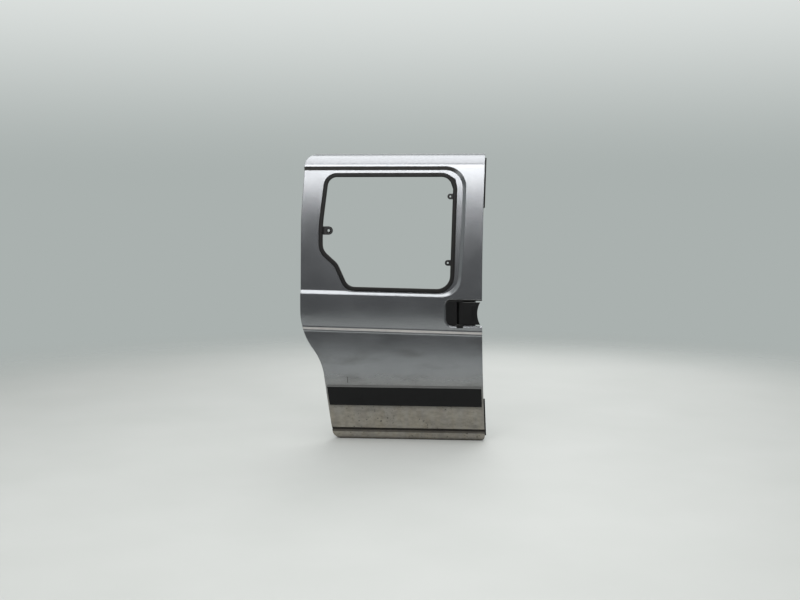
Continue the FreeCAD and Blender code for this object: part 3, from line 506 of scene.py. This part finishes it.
# Peened axle ends on the rollers
RIVET_PROFILE = [(0, 1.6), (2.0, 1.5), (4.4, 0.9), (5.0, 0.2), (5.0, -0.4), (0, -0.4)]
rivets = []
for node, axis in [
        ("lower_guide_roller", (0, 0, 1)), ("upper_guide_roller", (0, 0, 1)),
        ("centre_guide_roller", (0, 0, 1)), ("lower_load_roller", (0, 1, 0)),
        ("centre_load_roller", (0, 1, 0))]:
    low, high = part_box(node)
    middle = (low + high) / 2
    end = Vector([high[i] if axis[i] else middle[i] for i in range(3)])
    rivets.append(stood(turned(RIVET_PROFILE, 16), end, axis))
piece("roller_axle_ends", joined(rivets), finishes["zinc_steel"])


WIRE_RADIUS = 2.0 * MM
WIRE_WIDTH = 2.6
FORK_RADIUS = 4.6 * MM
FORK_SWEEP = math.radians(220)
FORK_INSET = 12 * MM
FORK_DEPTH = {1: -19 * MM, -1: -15 * MM}


def claw(node, side):
    """A latch fork in the mouth of a lock, open towards side along X."""
    low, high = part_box(node)
    middle = (low + high) / 2
    bm = bmesh.new()
    bmesh.ops.create_circle(bm, cap_ends=False, segments=10, radius=WIRE_RADIUS)
    bmesh.ops.rotate(bm, verts=bm.verts, cent=(0, 0, 0), matrix=Matrix.Rotation(math.pi / 2, 3, "Z"))
    bmesh.ops.scale(bm, verts=bm.verts, vec=(1.0, WIRE_WIDTH, 1.0))
    bmesh.ops.translate(bm, verts=bm.verts, vec=(-FORK_RADIUS, 0, 0))
    bmesh.ops.rotate(bm, verts=bm.verts, cent=(0, 0, 0), matrix=Matrix.Rotation(-FORK_SWEEP / 2, 3, "Y"))
    bmesh.ops.spin(
        bm, geom=bm.verts[:] + bm.edges[:], cent=(0, 0, 0), axis=(0, 1, 0), dvec=(0, 0, 0),
        angle=FORK_SWEEP, steps=18, use_merge=False)
    bmesh.ops.holes_fill(bm, edges=bm.edges, sides=12)
    bmesh.ops.recalc_face_normals(bm, faces=bm.faces)
    if side < 0:
        bmesh.ops.rotate(bm, verts=bm.verts, cent=(0, 0, 0), matrix=Matrix.Rotation(math.pi, 3, "Z"))
    mouth = high.x - FORK_INSET if side > 0 else low.x + FORK_INSET
    bmesh.ops.translate(bm, verts=bm.verts, vec=(mouth, FORK_DEPTH[side], middle.z))
    return bm


claws = joined([claw("front_lock", 1), claw("rear_lock", -1)])
piece("latch_forks", claws, finishes["zinc_steel"])

# The web that fills the seal's upper front corner
GUSSET = [(160, 1191), (186, 1192), (207, 1178), (212, 1150), (207, 1098), (199, 1124), (184, 1166)]
WEB_SETBACK = 5 * MM
WEB_THICKNESS = 9 * MM
WEB_ROUND = 1.2 * MM
SEAL_CROWN_Z = 1195 * MM
seal = copied("window_seal")
seal_surface = BVHTree.FromBMesh(seal)
seal.free()
seal_face = seal_surface.ray_cast(Vector((0, FAR_OUTSIDE, SEAL_CROWN_Z)), Vector((0, 1, 0)))[0]
bm = bmesh.new()
corners = [bm.verts.new((x * MM, 0, z * MM)) for x, z in GUSSET]
bm.faces.new(corners)
for corner in corners:
    corner.co.y = seal_face.y + WEB_SETBACK + (corner.co.z - seal_face.z) * WINDOW_LEAN
thick = bmesh.ops.extrude_face_region(bm, geom=bm.faces[:])
walls = [v for v in thick["geom"] if isinstance(v, bmesh.types.BMVert)]
bmesh.ops.translate(bm, verts=walls, vec=(0, WEB_THICKNESS, 0))
bmesh.ops.recalc_face_normals(bm, faces=bm.faces)
bmesh.ops.bevel(
    bm, geom=bm.edges[:], offset=WEB_ROUND, offset_type="OFFSET", segments=2, profile=0.5,
    affect="EDGES", clamp_overlap=True, material=-1)
piece("seal_corner_web", bm, finishes["black_rubber"])
panel.free()

# A plain pale floor that fades out, soft light from the front, above and behind, and the photograph's angle
FLOOR_HALF = 8.0
FADE_START = 2.2
FADE_END = 4.6
CAMERA_AIM = Vector((-0.040, -0.019, 0.637))
CAMERA_DISTANCE = 5.0
bm = bmesh.new()
bmesh.ops.create_grid(bm, x_segments=1, y_segments=1, size=FLOOR_HALF)
floor_mesh = bpy.data.meshes.new("floor")
bm.to_mesh(floor_mesh)
bm.free()
floor = bpy.data.objects.new("floor", floor_mesh)
scene.collection.objects.link(floor)
pale, tree, shader, place = new_finish("pale_floor")
shader["Roughness"].default_value = 0.7
cloud = add(tree, NOISE, None, {"Vector": place, "Scale": 1 / (500 * MM), "Detail": 3.0})
tree.links.new(add(tree, MIX, COLOURS, {0: cloud, 6: "b9bbb8", 7: "c3c4c2"}, MIXED), shader["Base Color"])
reach = add(tree, "ShaderNodeVectorMath", {"operation": "LENGTH"}, {0: place}, "Value")
tree.links.new(add(tree, RANGE, SMOOTH, {0: reach, 1: FADE_END, 2: FADE_START}), shader["Alpha"])
floor_mesh.materials.append(pale)


def soft_light(name, place, aim, width, height, power):
    lamp = bpy.data.lights.new(name, "AREA")
    lamp.shape = "RECTANGLE"
    lamp.size = width
    lamp.size_y = height
    lamp.energy = power
    holder = bpy.data.objects.new(name, lamp)
    scene.collection.objects.link(holder)
    holder.location = place
    holder.rotation_euler = (Vector(aim) - Vector(place)).to_track_quat("-Z", "Y").to_euler()


soft_light("front_softbox", (-0.3, -3.0, 2.75), (0, 0, 0.9), 3.2, 1.5, 64)
soft_light("top_softbox", (0.0, -0.9, 3.6), (0, -0.4, 0.6), 3.0, 2.6, 58)
soft_light("back_softbox", (0.6, 3.2, 2.4), (0, 0, 0.7), 3.0, 2.0, 60)

world = bpy.data.worlds.new("studio")
scene.world = world
world.use_nodes = True
tree = world.node_tree
ahead = add(tree, SPLIT, None, {0: add(tree, "ShaderNodeTexCoord", out="Generated")}, "Y")
share = add(tree, RANGE, SMOOTH, {0: ahead, 1: -0.8, 2: 0.5})
shade = add(tree, MIX, COLOURS, {0: share, 6: "404244", 7: "aab1af"}, MIXED)
aloft = add(tree, SPLIT, None, {0: add(tree, "ShaderNodeTexCoord", out="Generated")}, "Z")
aloft = add(tree, RANGE, SMOOTH, {0: aloft, 1: 0.02, 2: 0.22})
glow = add(tree, MATH, TIMES, {0: aloft, 1: share})
shade = add(tree, MIX, COLOURS, {0: glow, 6: shade, 7: "e2e6e4"}, MIXED)
tree.links.new(shade, tree.nodes["Background"].inputs["Color"])

camera_data = bpy.data.cameras.new("camera")
camera = bpy.data.objects.new("camera", camera_data)
scene.collection.objects.link(camera)
scene.camera = camera
camera_data.lens = 50.0
camera_data.sensor_width = 36.0
azimuth = math.radians(5)
elevation = math.radians(5)
back = Vector((
    math.sin(azimuth) * math.cos(elevation), -math.cos(azimuth) * math.cos(elevation), math.sin(elevation)))
camera.location = CAMERA_AIM + back * CAMERA_DISTANCE
camera.rotation_euler = (-back).to_track_quat("-Z", "Y").to_euler()
